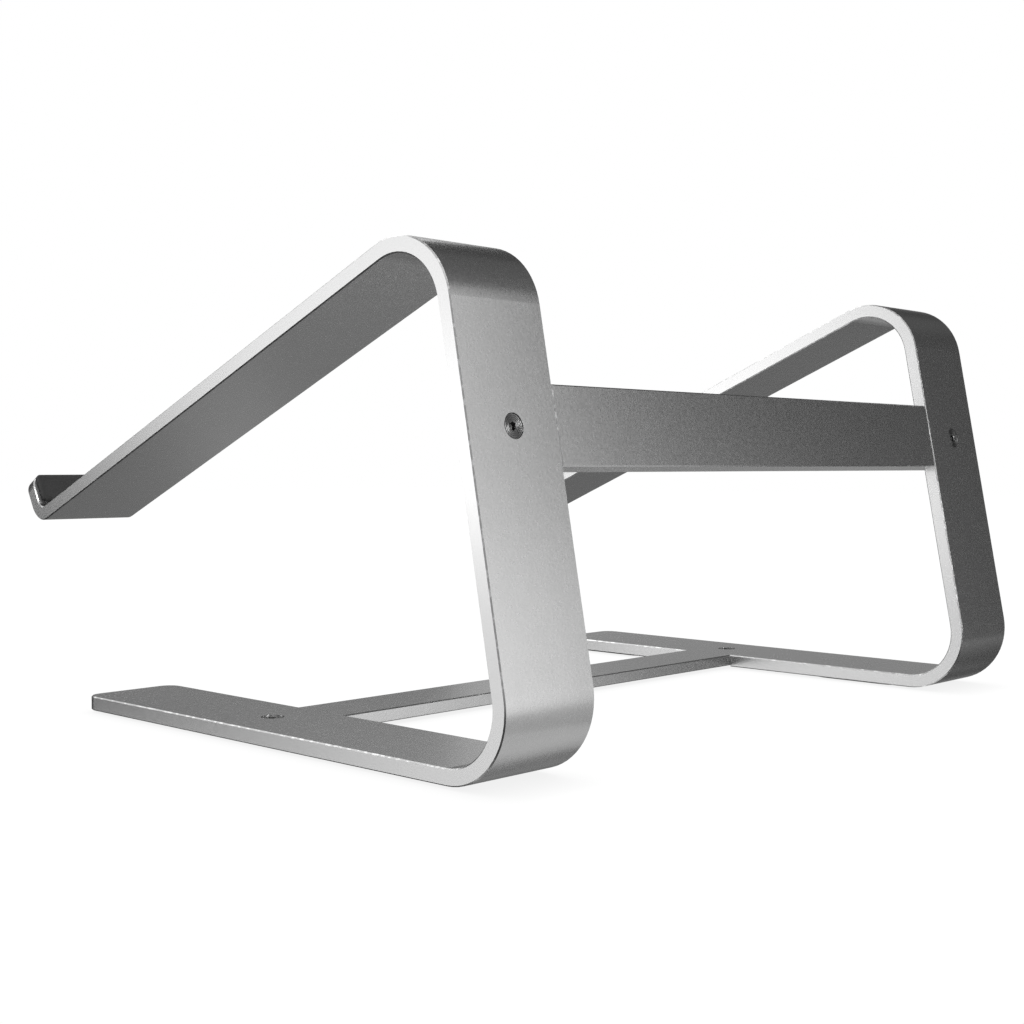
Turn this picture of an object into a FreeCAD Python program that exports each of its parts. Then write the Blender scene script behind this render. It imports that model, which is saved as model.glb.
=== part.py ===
import FreeCAD, Part
import os
import math
import Sketcher
from FreeCAD import Placement, Rotation, Vector

# A desktop stand for a laptop: two bent aluminium side brackets joined by a rear
# cross bar and a base cross bar.  Row frame: +Z up, +X to the user's right, the lip
# that holds the laptop on the -Y side, origin on the desk under the middle.

SIZES = {
    "overall_width": 260.0,
    "strip_width": 32.5,
    "strip_thickness": 4.5,
    "foot_proud": 0.8,
    "heel_y": 116.1,
    "base_length": 190.5,
    "shoulder_height": 144.1,
    "upright_lean": 10.9,
    "arm_slope": 22.95,
    "arm_length": 210.5,
    "lip_lean": 29.5,
    "lip_length": 17.0,
    "bend_radius": 20.0,
    "lip_bend_radius": 7.5,
    "end_corner_radius": 5.0,
    "edge_chamfer": 0.35,
    "rear_bar_height": 21.5,
    "rear_bar_thickness": 8.4,
    "rear_bar_recess": 0.1,
    "rear_bar_along": 90.4,
    "rear_screw_along": 89.9,
    "base_bar_width": 21.4,
    "base_bar_thickness": 4.05,
    "base_bar_from_heel": 111.9,
    "base_screw_from_heel": 114.3,
    "base_web": 2.35,
    "tongue_length": 24.0,
    "lap_clearance": 0.1,
    "screw_head_diameter": 6.7,
    "screw_head_sunk": 0.2,
    "screw_rim": 0.25,
    "screw_major": 2.96,
    "screw_minor": 2.4,
    "thread_pitch": 0.5,
    "thread_half_gap": 0.2,
    "thread_overrun": 0.1,
    "tapped_diameter": 3.0,
    "through_diameter": 3.4,
    "countersink_play": 0.05,
    "rear_screw_length": 8.0,
    "base_screw_length": 3.4,
    "rear_socket_depth": 1.5,
    "base_socket_depth": 1.2,
    "hex_flats": 2.0,
    "pad_clearance": 0.1,
    "pad_edge": 0.3,
    "arm_pad_length": 150.0,
    "arm_pad_width": 26.0,
    "arm_pad_thickness": 1.2,
    "arm_pad_proud": 0.7,
    "arm_pad_along": 112.0,
    "arm_pad_corner": 4.0,
    "lip_pad_length": 29.5,
    "lip_pad_width": 9.4,
    "lip_pad_thickness": 1.8,
    "lip_pad_proud": 1.3,
    "lip_pad_along": 11.6,
    "lip_pad_corner": 1.2,
    "foot_length": 34.0,
    "foot_width": 24.5,
    "foot_thickness": 1.6,
    "foot_corner": 5.0,
    "front_foot_from_heel": 166.0,
    "rear_foot_from_heel": 49.0,
    "cutter_reach": 20.0,
    "cutter_overrun": 1.0,
}

TOLERANCE = 1e-6
FULL_TURN = 360

# Sketcher's numbers for the two axes, the origin and the points of an edge.
HORIZONTAL_AXIS = -1
VERTICAL_AXIS = -2
ORIGIN = -1
START, END, CENTRE = 1, 2, 3

doc = FreeCAD.newDocument("LaptopStand")


def make_sheet():
    """Write every driving size to a spreadsheet, one alias to a row."""
    new_sheet = doc.addObject("Spreadsheet::Sheet", "Sizes")
    for row, (alias, value) in enumerate(SIZES.items(), start=1):
        new_sheet.set("A%d" % row, alias)
        new_sheet.set("B%d" % row, str(value))
        new_sheet.setAlias("B%d" % row, alias)
    doc.recompute()
    return new_sheet


sheet = make_sheet()


def size(alias):
    return float(sheet.get(alias))


def cell(alias):
    return "Sizes." + alias


# ---------------------------------------------------------------- sketch helpers

def new_body(name):
    body = doc.addObject("PartDesign::Body", name)
    body.Label = name
    return body


def new_sketch(body, name, plane_role):
    """Add a sketch on one of the body's own origin planes."""
    sketch = body.newObject("Sketcher::SketchObject", name)
    plane = [item for item in body.Origin.OriginFeatures if item.Role == plane_role][0]
    sketch.AttachmentSupport = [(plane, "")]
    sketch.MapMode = "FlatFace"
    return sketch


def dimension(sketch, constraint, expression):
    """Add a dimension and bind it to the sheet."""
    index = sketch.addConstraint(constraint)
    sketch.setExpression("Constraints[%d]" % index, expression)


def add_polygon(sketch, points):
    """Add closed straight edges through points; return the index of the first one."""
    first = sketch.GeometryCount
    count = len(points)
    for i in range(count):
        start = Vector(*points[i], 0)
        end = Vector(*points[(i + 1) % count], 0)
        sketch.addGeometry(Part.LineSegment(start, end))
    for i in range(count):
        sketch.addConstraint(
            Sketcher.Constraint("Coincident", first + i, END, first + (i + 1) % count, START))
    return first


def pin_corners(sketch, first, corners):
    """Dimension each corner of a polygon from the sketch origin, in x and in y.

    A corner is a pair of expressions; a corner on an axis is held there instead.
    """
    for i, (x_text, y_text) in enumerate(corners):
        point = sketch.getPoint(first + i, START)
        for kind, text, value in (("DistanceX", x_text, point.x), ("DistanceY", y_text, point.y)):
            if text == "0":
                axis = VERTICAL_AXIS if kind == "DistanceX" else HORIZONTAL_AXIS
                sketch.addConstraint(Sketcher.Constraint("PointOnObject", first + i, START, axis))
            elif value > 0:
                dimension(sketch, Sketcher.Constraint(
                    kind, ORIGIN, START, first + i, START, value), text)
            else:
                dimension(sketch, Sketcher.Constraint(
                    kind, first + i, START, ORIGIN, START, -value), "-(%s)" % text)


def evaluate(sketch, text):
    return float(sketch.evalExpression(text))


def pinned_polygon(sketch, corners):
    """Draw a closed polygon whose corners are pairs of expressions of the sheet."""
    points = [(evaluate(sketch, x_text), evaluate(sketch, y_text)) for x_text, y_text in corners]
    first = add_polygon(sketch, points)
    pin_corners(sketch, first, corners)


def edge_names(feature, test):
    return ["Edge%d" % i for i, edge in enumerate(feature.Shape.Edges, start=1) if test(edge)]


def runs_along(edge, axis):
    """True for a straight edge parallel to an axis vector."""
    if not isinstance(edge.Curve, Part.Line):
        return False
    return edge.Curve.Direction.cross(axis).Length < TOLERANCE


# ------------------------------------------------------------------ slanted faces

class Face:
    """A flat face of the right bracket seen in the YZ plane.

    origin_y and origin_z place a corner of the strip, turn is the face's rotation
    about +X in degrees: a part put on the face has its local +Z along the face's
    outward normal and its local Y along the strip.
    """

    def __init__(self, origin_y, origin_z, turn, start_turn):
        self.origin_y = origin_y
        self.origin_z = origin_z
        self.turn = turn
        self.start_turn = start_turn

    def put(self, item, across, along, out):
        """Place item at distances across X, along local Y and out of the face."""
        item.Placement = Placement(Vector(), Rotation(Vector(1, 0, 0), self.start_turn))
        sine = "sin(%s)" % self.turn
        cosine = "cos(%s)" % self.turn
        item.setExpression("Placement.Base.x", across)
        item.setExpression("Placement.Base.y", "%s + (%s) * %s - (%s) * %s" % (
            self.origin_y, along, cosine, out, sine))
        item.setExpression("Placement.Base.z", "%s + (%s) * %s + (%s) * %s" % (
            self.origin_z, along, sine, out, cosine))
        if self.start_turn not in (0, 180):
            item.setExpression("Placement.Rotation.Angle", self.turn)


HEEL_Y = cell("heel_y")
HEEL_Z = cell("foot_proud")
LEAN = "(%s * 1deg)" % cell("upright_lean")
SLOPE = "(%s * 1deg)" % cell("arm_slope")
LIP_LEAN = "(%s * 1deg)" % cell("lip_lean")
SHOULDER_Y = "(%s - %s * tan(%s))" % (HEEL_Y, cell("shoulder_height"), LEAN)
SHOULDER_Z = "(%s + %s)" % (HEEL_Z, cell("shoulder_height"))
TOE_Y = "(%s - %s * cos(%s) + %s * sin(%s))" % (
    SHOULDER_Y, cell("arm_length"), SLOPE, cell("strip_thickness"), SLOPE)
TOE_Z = "(%s - %s * sin(%s) - %s * cos(%s))" % (
    SHOULDER_Z, cell("arm_length"), SLOPE, cell("strip_thickness"), SLOPE)

upright_face = Face(HEEL_Y, HEEL_Z, "(%s - 90deg)" % LEAN, size("upright_lean") - 90)
arm_face = Face(SHOULDER_Y, SHOULDER_Z, SLOPE, size("arm_slope"))
lip_face = Face(TOE_Y, TOE_Z, "(%s - 90deg)" % LIP_LEAN, size("lip_lean") - 90)
base_top = Face(HEEL_Y, "(%s + %s)" % (HEEL_Z, cell("strip_thickness")), "0deg", 0)
base_under = Face(HEEL_Y, HEEL_Z, "180deg", 180)

HALF_WIDTH = "(%s / 2)" % cell("overall_width")
INNER_SIDE = "(%s - %s)" % (HALF_WIDTH, cell("strip_width"))
STRIP_MIDDLE = "(%s - %s / 2)" % (HALF_WIDTH, cell("strip_width"))


# ---------------------------------------------------------------- the bent bracket

# The rounded corners of the strip's outline, by their place in it.
HEEL, SHOULDER, INNER_TOE, TOE, INNER_SHOULDER, INNER_HEEL = 1, 2, 3, 6, 7, 8


def corner_points():
    """Return the heel, shoulder and toe, where the strip's straight outsides would meet."""
    lean = math.radians(size("upright_lean"))
    slope = math.radians(size("arm_slope"))
    heel = Vector(size("heel_y"), size("foot_proud"), 0)
    shoulder = heel + size("shoulder_height") * Vector(-math.tan(lean), 1, 0)
    along_arm = Vector(-math.cos(slope), -math.sin(slope), 0)
    into_arm = Vector(math.sin(slope), -math.cos(slope), 0)
    toe = shoulder + size("arm_length") * along_arm + size("strip_thickness") * into_arm
    return heel, shoulder, toe


def bend(before, corner, after, radius):
    """Return where the arc that rounds a corner starts and ends, and its centre."""
    back = (before - corner).normalize()
    forth = (after - corner).normalize()
    half_angle = back.getAngle(forth) / 2
    reach = radius / math.tan(half_angle)
    start = corner + back * reach
    end = corner + forth * reach
    centre = corner + (back + forth).normalize() * (radius / math.sin(half_angle))
    return start, end, centre


def draw_strip(sketch):
    """Draw the strip edge-on: base, upright, arm and lip with their three bends."""
    thickness = size("strip_thickness")
    heel, shoulder, toe = corner_points()
    lean = math.radians(size("upright_lean"))
    slope = math.radians(size("arm_slope"))
    lip_lean = math.radians(size("lip_lean"))
    along_base = Vector(-1, 0, 0)
    along_upright = Vector(-math.sin(lean), math.cos(lean), 0)
    along_arm = Vector(-math.cos(slope), -math.sin(slope), 0)
    along_lip = Vector(-math.sin(lip_lean), math.cos(lip_lean), 0)
    base_in = thickness * Vector(0, 1, 0)
    upright_in = thickness * Vector(-math.cos(lean), -math.sin(lean), 0)
    arm_in = thickness * Vector(math.sin(slope), -math.cos(slope), 0)
    lip_in = thickness * Vector(math.cos(lip_lean), math.sin(lip_lean), 0)

    front = heel + size("base_length") * along_base
    tip = toe + size("lip_length") * along_lip
    inner_heel = line_meeting(heel + base_in, along_base, heel + upright_in, along_upright)
    inner_shoulder = line_meeting(heel + upright_in, along_upright, shoulder + arm_in, along_arm)
    inner_toe = line_meeting(shoulder, along_arm, toe + lip_in, along_lip)
    outline = [front, heel, shoulder, inner_toe, tip + lip_in, tip, toe,
               inner_shoulder, inner_heel, front + base_in]
    bend_radius = size("bend_radius")
    lip_bend_radius = size("lip_bend_radius")
    radii = {HEEL: bend_radius, SHOULDER: bend_radius,
             INNER_TOE: lip_bend_radius - thickness, TOE: lip_bend_radius,
             INNER_SHOULDER: bend_radius - thickness, INNER_HEEL: bend_radius - thickness}
    count = len(outline)
    arcs = {}
    for i, radius in radii.items():
        arcs[i] = bend(outline[i - 1], outline[i], outline[(i + 1) % count], radius)

    lines = []
    for i in range(count):
        following = (i + 1) % count
        start = arcs[i][1] if i in arcs else outline[i]
        end = arcs[following][0] if following in arcs else outline[following]
        lines.append(sketch.addGeometry(Part.LineSegment(start, end)))
    bends = {}
    for i in sorted(arcs):
        start, end, centre = arcs[i]
        bends[i] = add_bend(sketch, start, end, centre, lines[i - 1], lines[i])
    for i in range(count):
        following = (i + 1) % count
        if following not in arcs:
            sketch.addConstraint(
                Sketcher.Constraint("Coincident", lines[i], END, lines[following], START))
    constrain_strip(sketch, lines, bends, heel, shoulder, toe)


def line_meeting(point_a, direction_a, point_b, direction_b):
    """Return the point where two lines of the YZ plane meet."""
    gap = point_b - point_a
    cross = direction_a.x * direction_b.y - direction_a.y * direction_b.x
    reach = (gap.x * direction_b.y - gap.y * direction_b.x) / cross
    return point_a + direction_a * reach


def add_bend(sketch, start, end, centre, line_before, line_after):
    """Add an arc between two lines, tangent to both, and return its index."""
    start_angle = math.atan2(start.y - centre.y, start.x - centre.x)
    end_angle = math.atan2(end.y - centre.y, end.x - centre.x)
    counter_clockwise = (end_angle - start_angle) % (2 * math.pi) < math.pi
    circle = Part.Circle(centre, Vector(0, 0, 1), (start - centre).Length)
    if counter_clockwise:
        arc = Part.ArcOfCircle(circle, start_angle, end_angle)
        first_end, last_end = START, END
    else:
        arc = Part.ArcOfCircle(circle, end_angle, start_angle)
        first_end, last_end = END, START
    index = sketch.addGeometry(arc)
    sketch.addConstraint(Sketcher.Constraint("Tangent", line_before, END, index, first_end))
    sketch.addConstraint(Sketcher.Constraint("Tangent", line_after, START, index, last_end))
    return index


def add_corner_mark(sketch, point, line_a, line_b):
    """Add a construction point where two lines would meet and return its index."""
    mark = sketch.addGeometry(Part.Point(point), True)
    sketch.addConstraint(Sketcher.Constraint("PointOnObject", mark, START, line_a))
    sketch.addConstraint(Sketcher.Constraint("PointOnObject", mark, START, line_b))
    return mark


def constrain_strip(sketch, lines, bends, heel, shoulder, toe):
    """Tie the strip's outline to the sheet."""
    (base_out, upright_out, arm_out, lip_in, lip_end, lip_out,
     arm_in, upright_in, base_in, base_end) = lines
    for outer, inner in ((HEEL, INNER_HEEL), (SHOULDER, INNER_SHOULDER), (TOE, INNER_TOE)):
        sketch.addConstraint(Sketcher.Constraint(
            "Coincident", bends[outer], CENTRE, bends[inner], CENTRE))
    for outer, inner in ((base_out, base_in), (upright_out, upright_in),
                         (arm_out, arm_in), (lip_out, lip_in)):
        sketch.addConstraint(Sketcher.Constraint("Parallel", outer, inner))
    sketch.addConstraint(Sketcher.Constraint("Horizontal", base_out))
    sketch.addConstraint(Sketcher.Constraint("Vertical", base_end))
    sketch.addConstraint(Sketcher.Constraint("Perpendicular", lip_end, lip_out))

    heel_mark = add_corner_mark(sketch, heel, base_out, upright_out)
    shoulder_mark = add_corner_mark(sketch, shoulder, upright_out, arm_out)
    toe_mark = add_corner_mark(sketch, toe, arm_in, lip_out)
    bend_radius = size("bend_radius")
    inner_radius = bend_radius - size("strip_thickness")
    dimension(sketch, Sketcher.Constraint("Radius", bends[HEEL], bend_radius), cell("bend_radius"))
    dimension(sketch, Sketcher.Constraint("Radius", bends[SHOULDER], bend_radius),
              cell("bend_radius"))
    dimension(sketch, Sketcher.Constraint("Radius", bends[TOE], size("lip_bend_radius")),
              cell("lip_bend_radius"))
    dimension(sketch, Sketcher.Constraint("Radius", bends[INNER_HEEL], inner_radius),
              "%s - %s" % (cell("bend_radius"), cell("strip_thickness")))
    dimension(sketch, Sketcher.Constraint(
        "DistanceX", ORIGIN, START, heel_mark, START, heel.x), HEEL_Y)
    dimension(sketch, Sketcher.Constraint(
        "DistanceY", ORIGIN, START, heel_mark, START, heel.y), HEEL_Z)
    dimension(sketch, Sketcher.Constraint(
        "DistanceX", base_out, START, heel_mark, START, size("base_length")), cell("base_length"))
    dimension(sketch, Sketcher.Constraint(
        "DistanceY", heel_mark, START, shoulder_mark, START, size("shoulder_height")),
        cell("shoulder_height"))
    dimension(sketch, Sketcher.Constraint(
        "Angle", upright_out, math.radians(90 + size("upright_lean"))), "90deg + " + LEAN)
    dimension(sketch, Sketcher.Constraint(
        "Angle", arm_in, math.radians(size("arm_slope"))), SLOPE)
    dimension(sketch, Sketcher.Constraint(
        "Distance", shoulder_mark, START, toe_mark, START, (toe - shoulder).Length),
        "sqrt(%s^2 + %s^2)" % (cell("arm_length"), cell("strip_thickness")))
    dimension(sketch, Sketcher.Constraint(
        "Angle", lip_out, math.radians(size("lip_lean") - 90)), LIP_LEAN + " - 90deg")
    dimension(sketch, Sketcher.Constraint(
        "Distance", toe_mark, START, lip_out, START, size("lip_length")), cell("lip_length"))


def make_strip():
    """Pad the strip's outline to its width, round its end corners and break its edges."""
    body = new_body("bent_strip")
    sketch = new_sketch(body, "strip_outline", "YZ_Plane")
    draw_strip(sketch)
    pad = body.newObject("PartDesign::Pad", "strip_pad")
    pad.Profile = sketch
    pad.Midplane = True
    pad.setExpression("Length", cell("strip_width"))
    body.setExpression("Placement.Base.x", STRIP_MIDDLE)
    doc.recompute()

    corners = body.newObject("PartDesign::Fillet", "end_corners")
    corners.Base = (pad, edge_names(pad, is_end_corner))
    corners.setExpression("Radius", cell("end_corner_radius"))
    doc.recompute()
    breaks = body.newObject("PartDesign::Chamfer", "edge_breaks")
    breaks.Base = (corners, ["Face1"])
    breaks.UseAllEdges = True
    breaks.setExpression("Size", cell("edge_chamfer"))
    body.Tip = breaks
    doc.recompute()
    return body


def is_end_corner(edge):
    """True for the four thickness edges at the free ends of the strip."""
    if not isinstance(edge.Curve, Part.Line):
        return False
    return abs(edge.Length - size("strip_thickness")) < TOLERANCE


# ------------------------------------------------------------------- loose pieces

def rounded_plate(name, length, width, thickness, corner, edge_break):
    """Make a flat plate centred on its own origin, with round corners and one broken rim."""
    body = new_body(name)
    sketch = new_sketch(body, name + "_outline", "XY_Plane")
    half_length = "(%s) / 2" % length
    half_width = "(%s) / 2" % width
    pinned_polygon(sketch, [
        ("-%s" % half_length, "-%s" % half_width), (half_length, "-%s" % half_width),
        (half_length, half_width), ("-%s" % half_length, half_width)])
    pad = body.newObject("PartDesign::Pad", name + "_pad")
    pad.Profile = sketch
    pad.setExpression("Length", thickness)
    doc.recompute()
    corners = body.newObject("PartDesign::Fillet", name + "_corners")
    corners.Base = (pad, edge_names(pad, lambda edge: runs_along(edge, Vector(0, 0, 1))))
    corners.setExpression("Radius", corner)
    body.Tip = corners
    doc.recompute()
    if edge_break:
        top = corners.Shape.BoundBox.ZMax
        rim = body.newObject("PartDesign::Chamfer", name + "_rim")
        rim.Base = (corners, edge_names(
            corners, lambda edge: edge.BoundBox.ZMin > top - TOLERANCE))
        rim.setExpression("Size", edge_break)
        body.Tip = rim
        doc.recompute()
    return body


def make_screw(name, length, socket_depth):
    """Turn a flat-head socket screw about +Z, head face at the origin, shank downwards."""
    body = new_body(name)
    head_radius = "(%s / 2)" % cell("screw_head_diameter")
    shank_radius = "(%s / 2)" % cell("screw_major")
    core_radius = "(%s / 2)" % cell("screw_minor")
    rim = cell("screw_rim")
    cone_end = "(%s + %s - %s)" % (rim, head_radius, shank_radius)
    tip_break = "(%s - %s)" % (shank_radius, core_radius)
    blank = new_sketch(body, name + "_blank", "XZ_Plane")
    pinned_polygon(blank, [
        ("0", "0"), (head_radius, "0"), (head_radius, "-%s" % rim),
        (shank_radius, "-%s" % cone_end),
        (shank_radius, "-(%s - %s)" % (length, tip_break)), (core_radius, "-(%s)" % length),
        ("0", "-(%s)" % length)])
    turned = body.newObject("PartDesign::Revolution", name + "_turned")
    turned.Profile = blank
    turned.ReferenceAxis = (blank, ["V_Axis"])
    turned.Angle = FULL_TURN
    doc.recompute()

    socket_sketch = new_sketch(body, name + "_hex", "XY_Plane")
    across = "(%s / 2)" % cell("hex_flats")
    reach = "(%s / sqrt(3))" % cell("hex_flats")
    pinned_polygon(socket_sketch, [
        (reach, "0"), ("%s / 2" % reach, across), ("-%s / 2" % reach, across),
        ("-%s" % reach, "0"), ("-%s / 2" % reach, "-%s" % across),
        ("%s / 2" % reach, "-%s" % across)])
    socket = body.newObject("PartDesign::Pocket", name + "_socket")
    socket.Profile = socket_sketch
    socket.setExpression("Length", socket_depth)
    doc.recompute()
    if socket.Shape.Volume >= turned.Shape.Volume:
        socket.Reversed = True
        doc.recompute()

    thread_sketch = new_sketch(body, name + "_thread_form", "XZ_Plane")
    first_root = "(%s + %s)" % (cone_end, cell("thread_pitch"))
    half_gap = cell("thread_half_gap")
    outside = "(%s + %s)" % (shank_radius, cell("thread_overrun"))
    pinned_polygon(thread_sketch, [
        (core_radius, "-%s" % first_root),
        (outside, "-(%s + %s)" % (first_root, half_gap)),
        (outside, "-(%s - %s)" % (first_root, half_gap))])
    groove = body.newObject("PartDesign::Groove", name + "_thread")
    groove.Profile = thread_sketch
    groove.ReferenceAxis = (thread_sketch, ["V_Axis"])
    groove.Angle = FULL_TURN
    doc.recompute()
    free_length = evaluate(blank, "%s - %s - %s" % (length, first_root, tip_break))
    turns = int(free_length / size("thread_pitch")) + 1
    if turns > 1:
        pattern = body.newObject("PartDesign::LinearPattern", name + "_thread_turns")
        pattern.Originals = [groove]
        pattern.Direction = (thread_sketch, ["V_Axis"])
        pattern.Reversed = True
        pattern.setExpression("Length", "%s * %d" % (cell("thread_pitch"), turns - 1))
        pattern.Occurrences = turns
        body.Tip = pattern
        doc.recompute()
    return body


def screw_hole(name, face, along, bore_diameter):
    """Make the cutter of a countersunk hole: a shank bore and a cone open at the face."""
    bore = doc.addObject("Part::Cylinder", name + "_bore")
    bore.setExpression("Radius", bore_diameter + " / 2")
    bore.setExpression("Height", "2 * " + cell("cutter_reach"))
    face.put(bore, STRIP_MIDDLE, along, "-" + cell("cutter_reach"))
    cone = doc.addObject("Part::Cone", name + "_countersink")
    top_radius = "(%s / 2 + %s)" % (cell("screw_head_diameter"), cell("countersink_play"))
    mouth_depth = "(%s + %s)" % (cell("screw_head_sunk"), cell("screw_rim"))
    cone.Radius1 = 0
    cone.setExpression("Radius2", top_radius)
    cone.setExpression("Height", top_radius)
    face.put(cone, STRIP_MIDDLE, along, "-(%s + %s)" % (top_radius, mouth_depth))
    mouth = doc.addObject("Part::Cylinder", name + "_mouth")
    mouth.setExpression("Radius", top_radius)
    mouth.setExpression("Height", "%s + %s" % (mouth_depth, cell("cutter_overrun")))
    face.put(mouth, STRIP_MIDDLE, along, "-" + mouth_depth)
    return [bore, cone, mouth]


def fuse(name, items):
    joined = doc.addObject("Part::MultiFuse", name)
    joined.Shapes = items
    return joined


def cut(name, base, tool):
    piece = doc.addObject("Part::Cut", name)
    piece.Base = base
    piece.Tool = tool
    piece.Label = name
    return piece


# Where things lie along the strip, in each face's local Y.
REAR_BAR_ALONG = "-" + cell("rear_bar_along")
REAR_SCREW_ALONG = "-" + cell("rear_screw_along")
BASE_BAR_ALONG = "-" + cell("base_bar_from_heel")
BASE_SCREW_ALONG = "-" + cell("base_screw_from_heel")
ARM_PAD_ALONG = "-" + cell("arm_pad_along")
LIP_PAD_ALONG = "-" + cell("lip_pad_along")
LIP_INSIDE = cell("strip_thickness")


def recess(name, face, along, out, sizes):
    """Make the cutter of a shallow pocket that a pad sits in."""
    length, width, depth, corner = sizes
    grown = "%s + 2 * " + cell("pad_clearance")
    height = "%s + %s" % (depth, cell("cutter_overrun"))
    tool = rounded_plate(name, grown % length, grown % width, height, corner, None)
    face.put(tool, STRIP_MIDDLE, along, "%s - (%s)" % (out, depth))
    return tool


def foot_spots():
    return {"front": cell("front_foot_from_heel"), "rear": cell("rear_foot_from_heel")}


def make_right_bracket():
    """Cut the screw holes, the half lap and the pad recesses out of the bent strip."""
    strip = make_strip()
    tools = screw_hole("rear_hole", upright_face, REAR_SCREW_ALONG, cell("through_diameter"))
    tools += screw_hole("base_hole", base_top, BASE_SCREW_ALONG, cell("through_diameter"))
    lap = doc.addObject("Part::Box", "half_lap")
    clearance = cell("lap_clearance")
    overrun = cell("cutter_overrun")
    lap.setExpression("Length", "%s + %s + %s" % (cell("tongue_length"), clearance, overrun))
    lap.setExpression("Width", "%s + 2 * %s" % (cell("base_bar_width"), clearance))
    lap.setExpression("Height", "%s - %s + %s" % (
        cell("strip_thickness"), cell("base_web"), overrun))
    lap.setExpression("Placement.Base.x", "%s - %s" % (INNER_SIDE, overrun))
    lap.setExpression("Placement.Base.y", "%s - %s - %s / 2 - %s" % (
        HEEL_Y, cell("base_bar_from_heel"), cell("base_bar_width"), clearance))
    lap.setExpression("Placement.Base.z", "%s - %s" % (HEEL_Z, overrun))
    tools.append(lap)
    tools.append(recess("arm_recess", arm_face, ARM_PAD_ALONG, "0", (
        cell("arm_pad_width"), cell("arm_pad_length"),
        "(%s - %s)" % (cell("arm_pad_thickness"), cell("arm_pad_proud")), cell("arm_pad_corner"))))
    tools.append(recess("lip_recess", lip_face, LIP_PAD_ALONG, LIP_INSIDE, (
        cell("lip_pad_length"), cell("lip_pad_width"),
        "(%s - %s)" % (cell("lip_pad_thickness"), cell("lip_pad_proud")), cell("lip_pad_corner"))))
    for spot, from_heel in foot_spots().items():
        tools.append(recess(spot + "_foot_recess", base_under, from_heel, "0", (
            cell("foot_width"), cell("foot_length"),
            "(%s - %s)" % (cell("foot_thickness"), cell("foot_proud")), cell("foot_corner"))))
    doc.recompute()
    return cut("right_bracket", strip, fuse("bracket_cutters", tools))


def mirrored(name, source):
    """Mirror a right-hand piece across the stand's middle plane."""
    twin = doc.addObject("Part::Mirroring", name)
    twin.Source = source
    twin.Normal = Vector(1, 0, 0)
    twin.Base = Vector(0, 0, 0)
    twin.Label = name
    return twin


def make_bar(name, width, back, front, end_cut, tapped_face, along, screw_along):
    """Pad a bar's section from end to end, step its ends down to tongues and tap them.

    back and front bound the bar's thickness, measured outwards from tapped_face;
    end_cut is the outline of the material removed at the right end.
    """
    body = new_body(name + "_blank")
    section = new_sketch(body, name + "_section", "YZ_Plane")
    half_width = "(%s / 2)" % width
    flat = "(%s - %s)" % (half_width, cell("edge_chamfer"))
    low = "(%s + %s)" % (front, cell("edge_chamfer"))
    high = "(%s - %s)" % (back, cell("edge_chamfer"))
    pinned_polygon(section, [
        ("-" + flat, front), (flat, front), (half_width, low), (half_width, high),
        (flat, back), ("-" + flat, back), ("-" + half_width, high), ("-" + half_width, low)])
    pad = body.newObject("PartDesign::Pad", name + "_pad")
    pad.Profile = section
    pad.Midplane = True
    pad.setExpression("Length", "2 * (%s + %s)" % (INNER_SIDE, cell("tongue_length")))
    doc.recompute()

    steps = new_sketch(body, name + "_steps", "XZ_Plane")
    pinned_polygon(steps, end_cut)
    pinned_polygon(steps, [("-" + x_text, z_text) for x_text, z_text in end_cut])
    pocket = body.newObject("PartDesign::Pocket", name + "_end_steps")
    pocket.Profile = steps
    pocket.Midplane = True
    pocket.Type = "ThroughAll"
    body.Tip = pocket
    doc.recompute()
    if pocket.Shape.Volume >= pad.Shape.Volume:
        raise RuntimeError("the end steps of %s cut nothing" % name)

    tapped_face.put(body, "0", along, "0")
    holes = []
    for side, sign in (("right", ""), ("left", "-")):
        hole = doc.addObject("Part::Cylinder", "%s_%s_tapping" % (name, side))
        hole.setExpression("Radius", cell("tapped_diameter") + " / 2")
        hole.setExpression("Height", "2 * " + cell("cutter_reach"))
        tapped_face.put(hole, sign + STRIP_MIDDLE, screw_along, "-" + cell("cutter_reach"))
        holes.append(hole)
    doc.recompute()
    return cut(name, body, fuse(name + "_tappings", holes))


# Where the cut at a bar's end runs to: past the tongue's tip and above the bar.
BEYOND_END = "(%s + %s + %s)" % (INNER_SIDE, cell("tongue_length"), cell("cutter_overrun"))
ABOVE_BAR = cell("cutter_overrun")


def make_rear_bar():
    """The bar butts between the uprights and laps them with a tongue in front of each."""
    back = "-" + cell("rear_bar_recess")
    front = "-(%s + %s)" % (cell("rear_bar_recess"), cell("rear_bar_thickness"))
    shoulder = "-" + cell("strip_thickness")
    edge_break = cell("edge_chamfer")
    broken = "(%s - %s)" % (INNER_SIDE, edge_break)
    end_cut = [(INNER_SIDE, shoulder), (BEYOND_END, shoulder), (BEYOND_END, ABOVE_BAR),
               (broken, ABOVE_BAR), (broken, back), (INNER_SIDE, "%s - %s" % (back, edge_break))]
    return make_bar("rear_cross_bar", cell("rear_bar_height"), back, front, end_cut,
                    upright_face, REAR_BAR_ALONG, REAR_SCREW_ALONG)


def make_base_bar():
    """The bar lies flush between the bases; its ends fill their broken edges and lap below."""
    edge_break = cell("edge_chamfer")
    filled = "(%s + %s)" % (INNER_SIDE, edge_break)
    shoulder = "-(%s + %s / 2)" % (cell("base_web"), cell("lap_clearance"))
    end_cut = [(INNER_SIDE, shoulder), (BEYOND_END, shoulder), (BEYOND_END, ABOVE_BAR),
               (filled, ABOVE_BAR), (filled, "0"), (INNER_SIDE, "-" + edge_break)]
    return make_bar("base_cross_bar", cell("base_bar_width"), "0",
                    "-" + cell("base_bar_thickness"), end_cut,
                    base_top, BASE_BAR_ALONG, BASE_SCREW_ALONG)


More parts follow.
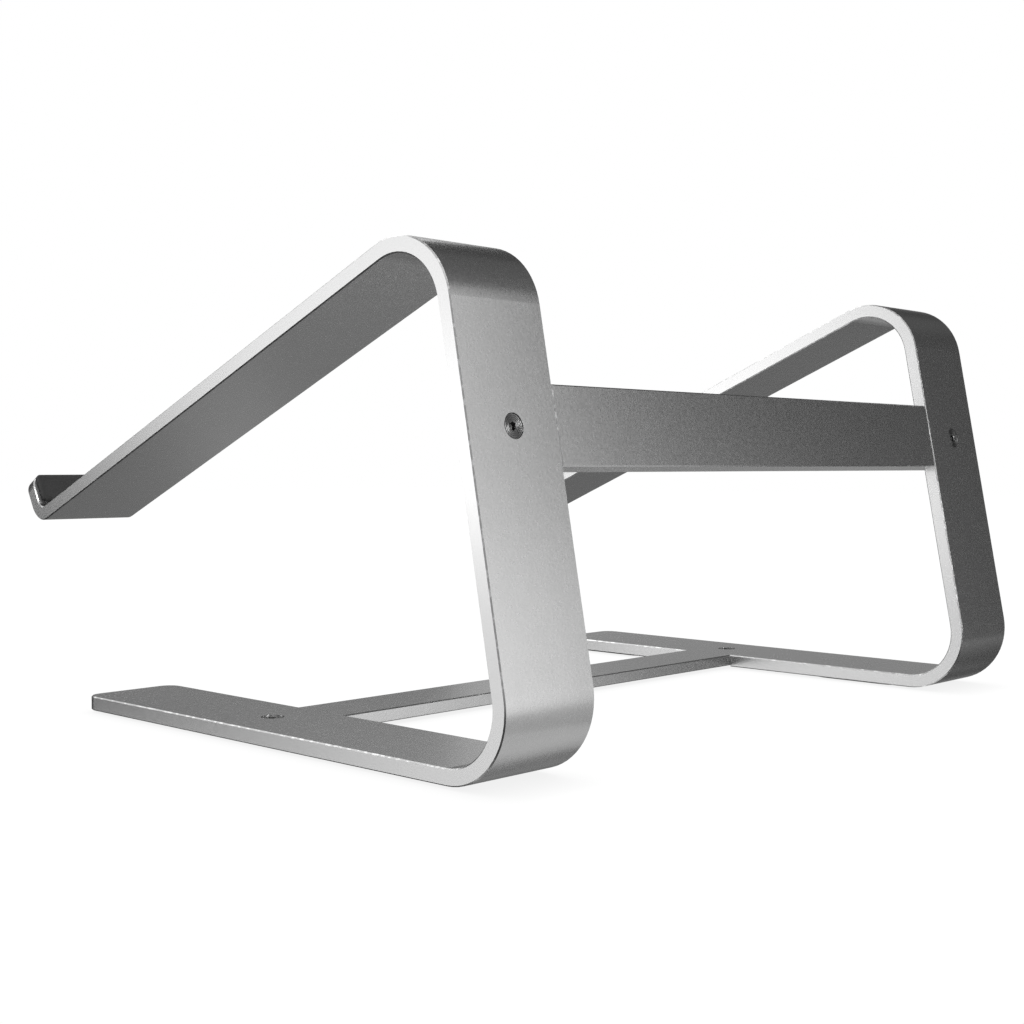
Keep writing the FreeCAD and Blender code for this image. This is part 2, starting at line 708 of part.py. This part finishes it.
def make_pads(side):
    """Make one side's arm pad, lip pad and two feet, placed on the right bracket."""
    pad_edge = cell("pad_edge")
    arm_pad = rounded_plate(side + "_arm_pad", cell("arm_pad_width"), cell("arm_pad_length"),
                            cell("arm_pad_thickness"), cell("arm_pad_corner"), pad_edge)
    arm_face.put(arm_pad, STRIP_MIDDLE, ARM_PAD_ALONG, "%s - %s" % (
        cell("arm_pad_proud"), cell("arm_pad_thickness")))
    lip_pad = rounded_plate(side + "_lip_pad", cell("lip_pad_length"), cell("lip_pad_width"),
                            cell("lip_pad_thickness"), cell("lip_pad_corner"), pad_edge)
    lip_face.put(lip_pad, STRIP_MIDDLE, LIP_PAD_ALONG, "%s + %s - %s" % (
        LIP_INSIDE, cell("lip_pad_proud"), cell("lip_pad_thickness")))
    pieces = [arm_pad, lip_pad]
    for spot, from_heel in foot_spots().items():
        foot = rounded_plate("%s_%s_foot" % (side, spot), cell("foot_width"), cell("foot_length"),
                             cell("foot_thickness"), cell("foot_corner"), pad_edge)
        base_under.put(foot, STRIP_MIDDLE, from_heel, "%s - %s" % (
            cell("foot_proud"), cell("foot_thickness")))
        pieces.append(foot)
    return pieces


def make_screws():
    """Make one rear screw and one base screw on the right."""
    rear = make_screw("rear_right_screw", cell("rear_screw_length"), cell("rear_socket_depth"))
    upright_face.put(rear, STRIP_MIDDLE, REAR_SCREW_ALONG, "-" + cell("screw_head_sunk"))
    base = make_screw("base_right_screw", cell("base_screw_length"), cell("base_socket_depth"))
    base_top.put(base, STRIP_MIDDLE, BASE_SCREW_ALONG, "-" + cell("screw_head_sunk"))
    return [rear, base]


def check_document():
    """Stop if any object failed to compute."""
    for item in doc.Objects:
        failed = {"Invalid", "Error"} & set(item.State)
        if failed:
            raise RuntimeError("%s: %s" % (item.Label, item.getStatusString()))


def export(pieces):
    os.makedirs("parts", exist_ok=True)
    for piece in pieces:
        shape = piece.Shape
        if shape.isNull() or not shape.isValid() or not shape.Solids:
            raise RuntimeError("bad shape: " + piece.Label)
    for piece in pieces:
        piece.Shape.exportStep("parts/%s.step" % piece.Label)
        box = piece.Shape.BoundBox
        print("%-20s %d solid  %9.1f mm3  x %.2f..%.2f  y %.2f..%.2f  z %.2f..%.2f" % (
            piece.Label, len(piece.Shape.Solids), piece.Shape.Volume,
            box.XMin, box.XMax, box.YMin, box.YMax, box.ZMin, box.ZMax))


def main():
    right_side = [make_right_bracket()] + make_screws() + make_pads("right")
    left_side = [mirrored(piece.Label.replace("right", "left"), piece) for piece in right_side]
    bars = [make_rear_bar(), make_base_bar()]
    doc.recompute()
    check_document()
    export(right_side + left_side + bars)


main()
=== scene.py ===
import math

import bmesh
import bpy
from mathutils import Matrix, Vector


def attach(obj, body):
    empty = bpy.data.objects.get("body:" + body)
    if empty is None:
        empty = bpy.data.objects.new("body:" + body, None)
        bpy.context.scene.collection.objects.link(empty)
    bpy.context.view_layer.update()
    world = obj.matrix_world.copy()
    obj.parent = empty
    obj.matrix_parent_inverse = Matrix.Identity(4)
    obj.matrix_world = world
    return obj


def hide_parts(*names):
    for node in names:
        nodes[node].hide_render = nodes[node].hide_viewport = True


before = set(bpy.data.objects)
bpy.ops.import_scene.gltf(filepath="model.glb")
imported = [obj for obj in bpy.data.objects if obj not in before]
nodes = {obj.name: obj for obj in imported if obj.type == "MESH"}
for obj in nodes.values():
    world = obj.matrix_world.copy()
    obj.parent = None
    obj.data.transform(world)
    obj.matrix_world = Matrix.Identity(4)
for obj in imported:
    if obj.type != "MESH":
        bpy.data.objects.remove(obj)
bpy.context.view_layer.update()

MM = 0.001
SIDES = ("right", "left")

# How far each flat of the bent strips is turned about +X, so that a piece's local
# +Z is the flat's outward side and its local Y runs along the strip.
UPRIGHT_TURN = math.radians(10.9 - 90)
ARM_TURN = math.radians(22.95)
LIP_TURN = math.radians(29.5 - 90)
TOP_TURN = 0.0
UNDER_TURN = math.pi


# ------------------------------------------------------------------ node helpers

def new_material(name):
    """Return a material with its node tree and its Principled shader."""
    material = bpy.data.materials.new(name)
    material.use_nodes = True
    tree = material.node_tree
    return material, tree, tree.nodes["Principled BSDF"]


def add_node(tree, kind, inputs=None, **settings):
    """Add a node, set its properties, and set or link its inputs."""
    node = tree.nodes.new(kind)
    for name, value in settings.items():
        setattr(node, name, value)
    for name, value in (inputs or {}).items():
        if isinstance(value, bpy.types.NodeSocket):
            tree.links.new(value, node.inputs[name])
        else:
            node.inputs[name].default_value = value
    return node


def maths(tree, operation, first, second=0.0):
    node = add_node(tree, "ShaderNodeMath", {0: first, 1: second}, operation=operation)
    return node.outputs[0]


def scaled(tree, value, gain, offset):
    """Return value * gain + offset."""
    return maths(tree, "ADD", maths(tree, "MULTIPLY", value, gain), offset)


def blend(tree, factor, first, second):
    """Mix two numbers by a factor."""
    node = add_node(tree, "ShaderNodeMix", {"Factor": factor, "A": first, "B": second})
    return node.outputs["Result"]


def grain(tree, point, size, detail=2.0):
    """Noise between about 0.3 and 0.7 whose grains are a given size in metres."""
    node = add_node(tree, "ShaderNodeTexNoise",
                    {"Vector": point, "Scale": 1.0 / size, "Detail": detail})
    return node.outputs["Fac"]


def grey(tree, value):
    node = add_node(tree, "ShaderNodeCombineColor", {0: value, 1: value, 2: value})
    return node.outputs[0]


def bump(tree, height, distance, strength=1.0):
    node = add_node(tree, "ShaderNodeBump",
                    {"Height": height, "Distance": distance, "Strength": strength})
    return node.outputs["Normal"]


def object_point(tree):
    return add_node(tree, "ShaderNodeTexCoord").outputs["Object"]


# ---------------------------------------------------------------------- materials

# How far a face looks along X, from 0 to 1, before it counts as a milled side or as
# a broken edge.
SIDE_FROM = 0.93
EDGE_FROM = 0.4
EDGE_TONE = (0.6, 0.95)
EDGE_ROUGHNESS = 0.32
BLAST_DEPTH = 0.009 * MM


def make_aluminium():
    """Bead-blasted anodised aluminium with finely milled sides and nicked edge breaks."""
    material, tree, shader = new_material("anodised_aluminium")
    point = object_point(tree)
    normal = add_node(tree, "ShaderNodeNewGeometry").outputs["True Normal"]
    sideways = add_node(tree, "ShaderNodeSeparateXYZ", {0: normal}).outputs[0]
    sideways = maths(tree, "ABSOLUTE", sideways)
    is_side = maths(tree, "GREATER_THAN", sideways, SIDE_FROM)
    is_edge = maths(tree, "SUBTRACT", maths(tree, "GREATER_THAN", sideways, EDGE_FROM), is_side)

    speckle = grain(tree, point, 0.8 * MM)
    blotch = grain(tree, point, 6 * MM)
    nick = grain(tree, point, 2.2 * MM, detail=3.0)
    across = add_node(tree, "ShaderNodeMapping", {"Vector": point, "Scale": (6.0, 1.0, 1.0)})
    streak = grain(tree, across.outputs[0], 2.5 * MM, detail=4.0)

    darkest, brightest = EDGE_TONE
    edge_tone = maths(tree, "MULTIPLY", maths(tree, "SUBTRACT", nick, 0.36), 4.0)
    edge_tone = maths(tree, "MAXIMUM", maths(tree, "MINIMUM", edge_tone, brightest), darkest)
    tone = maths(tree, "ADD", maths(tree, "MULTIPLY", speckle, 0.16),
                 maths(tree, "MULTIPLY", blotch, 0.05))
    tone = maths(tree, "ADD", tone, 0.69)
    tone = blend(tree, is_side, tone, scaled(tree, streak, 0.05, 0.91))
    tone = blend(tree, is_edge, tone, edge_tone)
    tree.links.new(grey(tree, tone), shader.inputs["Base Color"])

    roughness = blend(tree, is_side, scaled(tree, speckle, 0.08, 0.22),
                      scaled(tree, streak, 0.05, 0.235))
    roughness = blend(tree, is_edge, roughness, EDGE_ROUGHNESS)
    tree.links.new(roughness, shader.inputs["Roughness"])

    height = blend(tree, is_side, speckle, maths(tree, "MULTIPLY", streak, 0.2))
    height = maths(tree, "MULTIPLY", height, maths(tree, "SUBTRACT", 1.0, is_edge))
    tree.links.new(bump(tree, height, BLAST_DEPTH), shader.inputs["Normal"])
    shader.inputs["Metallic"].default_value = 1.0
    return material


# The tool marks on a screw's face.
RING_PITCH = 0.5 * MM
RING_DEPTH = 0.03 * MM


def make_screw_steel():
    """Turned steel: the tool marks run round the head."""
    material, tree, shader = new_material("screw_steel")
    point = object_point(tree)
    parts = add_node(tree, "ShaderNodeSeparateXYZ", {0: point})
    flat = add_node(tree, "ShaderNodeCombineXYZ", {0: parts.outputs[0], 1: parts.outputs[1]})
    radius = add_node(tree, "ShaderNodeVectorMath", {0: flat.outputs[0]}, operation="LENGTH")
    radius = radius.outputs["Value"]
    rings = maths(tree, "SINE", maths(tree, "MULTIPLY", radius, 2 * math.pi / RING_PITCH))
    wear = grain(tree, point, 0.4 * MM)
    tone = scaled(tree, wear, 0.08, 0.17)
    tone = maths(tree, "ADD", tone, maths(tree, "MULTIPLY", rings, 0.03))
    tree.links.new(grey(tree, tone), shader.inputs["Base Color"])
    tree.links.new(scaled(tree, wear, 0.1, 0.2), shader.inputs["Roughness"])
    tree.links.new(bump(tree, rings, RING_DEPTH), shader.inputs["Normal"])
    tangent = add_node(tree, "ShaderNodeTangent", direction_type="RADIAL", axis="Z")
    tree.links.new(tangent.outputs[0], shader.inputs["Tangent"])
    shader.inputs["Anisotropic"].default_value = 0.6
    shader.inputs["Metallic"].default_value = 1.0
    return material


RUBBER_GRAIN_DEPTH = 0.04 * MM


def make_rubber(name, tone, grain_size, roughness):
    """Matt moulded rubber with a spark-eroded grain and a trace of dust."""
    material, tree, shader = new_material(name)
    point = object_point(tree)
    fine = grain(tree, point, grain_size)
    dust = grain(tree, point, 7 * MM, detail=5.0)
    value = maths(tree, "ADD", maths(tree, "MULTIPLY", fine, 0.35 * tone),
                  maths(tree, "MULTIPLY", dust, 0.5 * tone))
    value = maths(tree, "ADD", value, 0.55 * tone)
    tree.links.new(grey(tree, value), shader.inputs["Base Color"])
    tree.links.new(scaled(tree, dust, 0.15, roughness), shader.inputs["Roughness"])
    tree.links.new(bump(tree, fine, RUBBER_GRAIN_DEPTH), shader.inputs["Normal"])
    shader.inputs["Specular IOR Level"].default_value = 0.35
    shader.inputs["Sheen Weight"].default_value = 0.08
    shader.inputs["Sheen Roughness"].default_value = 0.5
    return material


# ------------------------------------------------------------------- mesh helpers

def bridge(bm, lower, upper):
    """Join two rings of vertices with quads."""
    count = len(lower)
    for i in range(count):
        following = (i + 1) % count
        bm.faces.new((lower[i], lower[following], upper[following], upper[i]))


def finish_piece(bm, name, turn, centre, node, material):
    """Make a bmesh into a named piece on the frame that stands for a CAD node."""
    bmesh.ops.recalc_face_normals(bm, faces=bm.faces)
    mesh = bpy.data.meshes.new(name)
    bm.to_mesh(mesh)
    bm.free()
    for polygon in mesh.polygons:
        polygon.use_smooth = True
    mesh.set_sharp_from_angle(angle=math.radians(35))
    mesh.materials.append(material)
    piece = bpy.data.objects.new(name, mesh)
    bpy.context.scene.collection.objects.link(piece)
    piece.matrix_world = Matrix.Rotation(turn, 4, "X") @ Matrix.Translation(centre)
    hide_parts(node)
    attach(piece, "root")


def local_box(node, turn):
    """Return the low and high corners of a CAD node in a frame turned about +X."""
    back = Matrix.Rotation(-turn, 3, "X")
    points = [back @ vertex.co for vertex in nodes[node].data.vertices]
    low = Vector([min(point[i] for point in points) for i in range(3)])
    high = Vector([max(point[i] for point in points) for i in range(3)])
    return low, high


# ------------------------------------------------------------------------- screws

ROUND_STEPS = 96

# Millimetres.
HEX_FLATS = 2.0
SCREW_RIM = 0.25
SCREW_EDGE_BREAK = 0.08
THREAD_PITCH = 0.5
THREAD_DEPTH = 0.28
SHANK = 2.96
FACE_RING_PITCH = 0.24
FACE_RING_DEPTH = 0.004
FACE_RINGS_FROM_MOUTH = 0.1
FACE_RINGS_FROM_RIM = 0.2
SOCKET_BREAK = 0.12
SOCKET_LEAD_IN = 0.14
# Radii of the drilled point under the socket, and how far each lies below its floor.
DRILL_POINT = ((0.02, 0.45), (0.75, 0.1))


def hexagon_radius(angle, flats):
    """Distance from the middle of a hexagon to its side in a direction."""
    sixth = math.pi / 3
    return flats / 2 / math.cos((angle + sixth / 2) % sixth - sixth / 2)


def screw_profile(head, length):
    """Radii and depths in mm of the turned outside, from the face's inner edge down."""
    crest = SHANK / 2
    root = crest - THREAD_DEPTH
    neck = -SCREW_RIM - (head - SHANK) / 2
    profile = [(head / 2 - SCREW_EDGE_BREAK, 0.0), (head / 2, -SCREW_EDGE_BREAK),
               (head / 2, -SCREW_RIM), (crest, neck)]
    depth = neck - THREAD_PITCH
    while depth - THREAD_PITCH > -length:
        profile.append((crest, depth + THREAD_PITCH / 4))
        profile.append((root, depth))
        profile.append((crest, depth - THREAD_PITCH / 4))
        depth -= THREAD_PITCH
    profile.append((crest, -length + THREAD_DEPTH))
    profile.append((root, -length))
    return profile


def make_screw(node, turn, socket_depth, material):
    """Turn a flat-head socket screw with machined rings on its face."""
    low, high = local_box(node, turn)
    head = (high.x - low.x) / MM
    length = (high.z - low.z) / MM
    mouth = HEX_FLATS / math.sqrt(3) + SOCKET_BREAK
    face_rings = []
    radius = mouth + FACE_RINGS_FROM_MOUTH
    while radius < head / 2 - FACE_RINGS_FROM_RIM:
        face_rings.append((radius, -FACE_RING_DEPTH))
        face_rings.append((radius + FACE_RING_PITCH / 2, 0.0))
        radius += FACE_RING_PITCH

    bm = bmesh.new()
    angles = [2 * math.pi * i / ROUND_STEPS for i in range(ROUND_STEPS)]

    def round_ring(ring_radius, depth):
        return [bm.verts.new((ring_radius * MM * math.cos(a), ring_radius * MM * math.sin(a),
                              depth * MM)) for a in angles]

    def hex_ring(flats, depth):
        ring = []
        for a in angles:
            reach = hexagon_radius(a, flats) * MM
            ring.append(bm.verts.new((reach * math.cos(a), reach * math.sin(a), depth * MM)))
        return ring

    rings = [round_ring(r, -socket_depth - below) for r, below in DRILL_POINT]
    rings += [hex_ring(HEX_FLATS, -socket_depth), hex_ring(HEX_FLATS, -SOCKET_LEAD_IN),
              round_ring(mouth, 0.0)]
    rings += [round_ring(r, z) for r, z in face_rings]
    rings += [round_ring(r, z) for r, z in screw_profile(head, length)]
    for inner, outer in zip(rings, rings[1:]):
        bridge(bm, inner, outer)
    bm.faces.new(rings[0])
    bm.faces.new(rings[-1])
    centre = Vector(((low.x + high.x) / 2, (low.y + high.y) / 2, high.z))
    finish_piece(bm, node + "_turned", turn, centre, node, material)


# -------------------------------------------------------------------- rubber pads

CORNER_STEPS = 10
RIM_STEPS = 5


def rounded_outline(half_width, half_length, corner):
    """Points of a rounded rectangle in metres, with arcs at its corners."""
    points = []
    quarter_starts = ((1, 1, 0), (-1, 1, 1), (-1, -1, 2), (1, -1, 3))
    for sign_x, sign_y, quarter in quarter_starts:
        centre_x = sign_x * (half_width - corner)
        centre_y = sign_y * (half_length - corner)
        for step in range(CORNER_STEPS + 1):
            angle = math.pi / 2 * (quarter + step / CORNER_STEPS)
            points.append((centre_x + corner * math.cos(angle),
                           centre_y + corner * math.sin(angle)))
    return points


# How far in from the rolled rim, in mm, the flat border ends, the slope down to the
# dished middle ends, and the middle's own ring lies.
BORDER_END, SLOPE_END, MIDDLE = 0.9, 1.5, 2.6
SMALLEST_CORNER = 0.2 * MM


def make_pad(node, turn, corner, rim, dish, material):
    """Mould a rubber plate: straight skirt, rolled rim, and a slightly dished middle."""
    low, high = local_box(node, turn)
    half_width = (high.x - low.x) / 2
    half_length = (high.y - low.y) / 2
    thickness = high.z - low.z
    bm = bmesh.new()

    def ring(inset, height):
        outline = rounded_outline(half_width - inset, half_length - inset,
                                  max(corner * MM - inset, SMALLEST_CORNER))
        return [bm.verts.new((x, y, height)) for x, y in outline]

    rings = [ring(0.0, 0.0)]
    for step in range(RIM_STEPS + 1):
        angle = math.pi / 2 * step / RIM_STEPS
        rings.append(ring(rim * MM * (1 - math.cos(angle)),
                          thickness - rim * MM * (1 - math.sin(angle))))
    rings.append(ring((rim + BORDER_END) * MM, thickness))
    rings.append(ring((rim + SLOPE_END) * MM, thickness - dish * MM))
    rings.append(ring((rim + MIDDLE) * MM, thickness - dish * MM))
    for lower, upper in zip(rings, rings[1:]):
        bridge(bm, lower, upper)
    bm.faces.new(rings[0])
    bm.faces.new(rings[-1])
    centre = Vector(((low.x + high.x) / 2, (low.y + high.y) / 2, low.z))
    finish_piece(bm, node + "_moulded", turn, centre, node, material)


# -------------------------------------------------------------- camera and studio

# Where the photo was taken from. A scratch fit of the camera and the stand's
# proportions to the photo's straight edges, bends and screw centres gave these numbers.
EYE = Vector((384.199, 355.467, 80.122)) * MM
HEADING = math.radians(223.537)
PITCH = math.radians(-1.8975)
CAMERA_TILT = 0.0020
LENS = 52.956


def make_camera():
    """Aim the camera by heading and pitch, with its slight tilt to one side."""
    forward = Vector((math.cos(HEADING) * math.cos(PITCH), math.sin(HEADING) * math.cos(PITCH),
                      math.sin(PITCH)))
    right = forward.cross(Vector((0, 0, 1))).normalized()
    up = right.cross(forward)
    right = (right + CAMERA_TILT * up).normalized()
    up = right.cross(forward)
    data = bpy.data.cameras.new("camera")
    data.lens = LENS
    data.sensor_width = 36.0
    data.clip_start = 0.01
    data.clip_end = 20.0
    camera = bpy.data.objects.new("camera", data)
    bpy.context.scene.collection.objects.link(camera)
    turn = Matrix((right, up, -forward)).transposed().to_4x4()
    camera.matrix_world = Matrix.Translation(EYE) @ turn
    bpy.context.scene.camera = camera


FLOOR_HALF = 3.0
# How far from the stand the painted contact shadow on the floor reaches.
PAINTED_SHADOW_REACH = 14 * MM


def make_floor():
    """A pale floor that glows evenly, darkened a little by a painted contact shadow where the stand
    touches it.
    """
    material, tree, shader = new_material("pale_floor")
    # Ambient occlusion dims the floor's glow near the stand: a painted contact shadow, not cast by
    # any lamp.
    painted_contact_shadow = add_node(tree, "ShaderNodeAmbientOcclusion", {"Distance": PAINTED_SHADOW_REACH}, samples=8)
    glow = scaled(tree, painted_contact_shadow.outputs["AO"], 0.16, 0.86)
    white = add_node(tree, "ShaderNodeEmission", {"Color": grey(tree, glow)})
    clear = add_node(tree, "ShaderNodeBsdfTransparent")
    behind = add_node(tree, "ShaderNodeNewGeometry").outputs["Backfacing"]
    mix = add_node(tree, "ShaderNodeMixShader",
                   {0: behind, 1: white.outputs[0], 2: clear.outputs[0]})
    tree.links.new(mix.outputs[0], tree.nodes["Material Output"].inputs["Surface"])
    tree.nodes.remove(shader)
    mesh = bpy.data.meshes.new("floor")
    corners = [(x * FLOOR_HALF, y * FLOOR_HALF, 0) for x, y in ((-1, -1), (1, -1), (1, 1), (-1, 1))]
    mesh.from_pydata(corners, [], [(0, 1, 2, 3)])
    mesh.materials.append(material)
    floor = bpy.data.objects.new("floor", mesh)
    bpy.context.scene.collection.objects.link(floor)
    floor.visible_diffuse = False
    floor.visible_glossy = False
    floor.visible_shadow = False


WORLD_GLOW = 0.043


def make_world():
    """White behind everything, and a dim even glow on the stand itself."""
    world = bpy.data.worlds.new("studio")
    world.use_nodes = True
    tree = world.node_tree
    background = tree.nodes["Background"]
    background.inputs["Color"].default_value = (1, 1, 1, 1)
    seen = add_node(tree, "ShaderNodeLightPath").outputs["Is Camera Ray"]
    strength = blend(tree, seen, WORLD_GLOW, 1.0)
    tree.links.new(strength, background.inputs["Strength"])
    bpy.context.scene.world = world
    bpy.context.scene.view_settings.view_transform = "Standard"


AIM = Vector((0.0, 0.0, 70 * MM))
SOFTBOX_DISTANCE = 1.5


def add_softbox(name, azimuth, elevation, width, height, power):
    """Hang a softbox round the stand, turned to face it."""
    around = math.radians(azimuth)
    up = math.radians(elevation)
    away = Vector((math.cos(around) * math.cos(up), math.sin(around) * math.cos(up),
                   math.sin(up)))
    data = bpy.data.lights.new(name, "AREA")
    data.shape = "RECTANGLE"
    data.size = width
    data.size_y = height
    data.energy = power
    light = bpy.data.objects.new(name, data)
    bpy.context.scene.collection.objects.link(light)
    light.location = AIM + SOFTBOX_DISTANCE * away
    light.rotation_euler = away.to_track_quat("Z", "Y").to_euler()
    light.visible_camera = False


# Name, azimuth and elevation in degrees, width and height in metres, power in watts.
# Azimuth 0 is the stand's right, 90 its rear and 270 its front. The floor casts no
# shadow, so the ones below it light the stand too.
# Twelve rows began as the rounded result of a least-squares fit of single
# lights to the photo's grey levels, and most were then changed: rear_tall,
# rear_middle, rear_low, left_low, right_high, right_middle and every row that begins
# with front. The other eleven didn't come from it.
SOFTBOXES = (
    ("rear_tall", 120, 10, 0.7, 1.3, 2.1),
    ("rear_top", 120, 52, 0.9, 1.2, 0.5),
    ("rear_middle", 130, -12, 0.7, 1.3, 0.75),
    ("rear_low", 140, -36, 0.9, 1.3, 0.45),
    ("rear_under", 140, -84, 1.2, 1.2, 3.5),
    ("left_low", 155, -50, 0.9, 0.9, 0.9),
    ("right_high", 320, 12, 0.8, 0.8, 1.8),
    ("right_front", 303, -22, 0.5, 0.5, 0.4),
    ("right_middle", 330, -10, 0.8, 0.8, 1.4),
    ("front_top", 240, 50, 0.9, 0.9, 2.8),
    ("front_high", 240, 25, 0.9, 0.9, 0.6),
    ("front_low", 245, -27, 0.9, 0.9, 0.3),
    ("front_left", 210, 0, 0.9, 0.9, 0.65),
    ("front_left_low", 210, -25, 0.9, 0.9, 0.2),
    ("front_left_under", 210, -50, 0.9, 0.9, 0.25),
    ("edge_light", 277, 42, 0.9, 0.9, 4.0),
    ("ceiling", 120, 80, 1.0, 1.0, 1.0),
    ("camera_fill", 45, 12, 0.9, 0.9, 1.0),
    ("shoulder_light", 168, 43, 0.9, 0.9, 0.1),
    ("lip_light", 16, 35, 0.4, 0.4, 2.5),
    ("top_right", 45, 52, 1.2, 1.2, 3.0),
    ("top_front", 330, 55, 1.2, 1.2, 2.0),
    ("screw_light", 90, 8, 0.5, 0.5, 9.0),
)


# ------------------------------------------------------------------------ the set

aluminium = make_aluminium()
for metal in ("right_bracket", "left_bracket", "rear_cross_bar", "base_cross_bar"):
    nodes[metal].data.materials.clear()
    nodes[metal].data.materials.append(aluminium)

steel = make_screw_steel()
pad_rubber = make_rubber("pad_rubber", 0.1, 0.35 * MM, 0.55)
foot_rubber = make_rubber("foot_rubber", 0.05, 0.5 * MM, 0.7)
for side in SIDES:
    make_screw("rear_%s_screw" % side, UPRIGHT_TURN, 1.5, steel)
    make_screw("base_%s_screw" % side, TOP_TURN, 1.2, steel)
    make_pad(side + "_arm_pad", ARM_TURN, 4.0, 0.4, 0.08, pad_rubber)
    make_pad(side + "_lip_pad", LIP_TURN, 1.2, 0.45, 0.1, pad_rubber)
    for end in ("front", "rear"):
        make_pad("%s_%s_foot" % (side, end), UNDER_TURN, 5.0, 0.35, 0.12,
                 foot_rubber)

make_camera()
make_world()
make_floor()
for softbox in SOFTBOXES:
    add_softbox(*softbox)
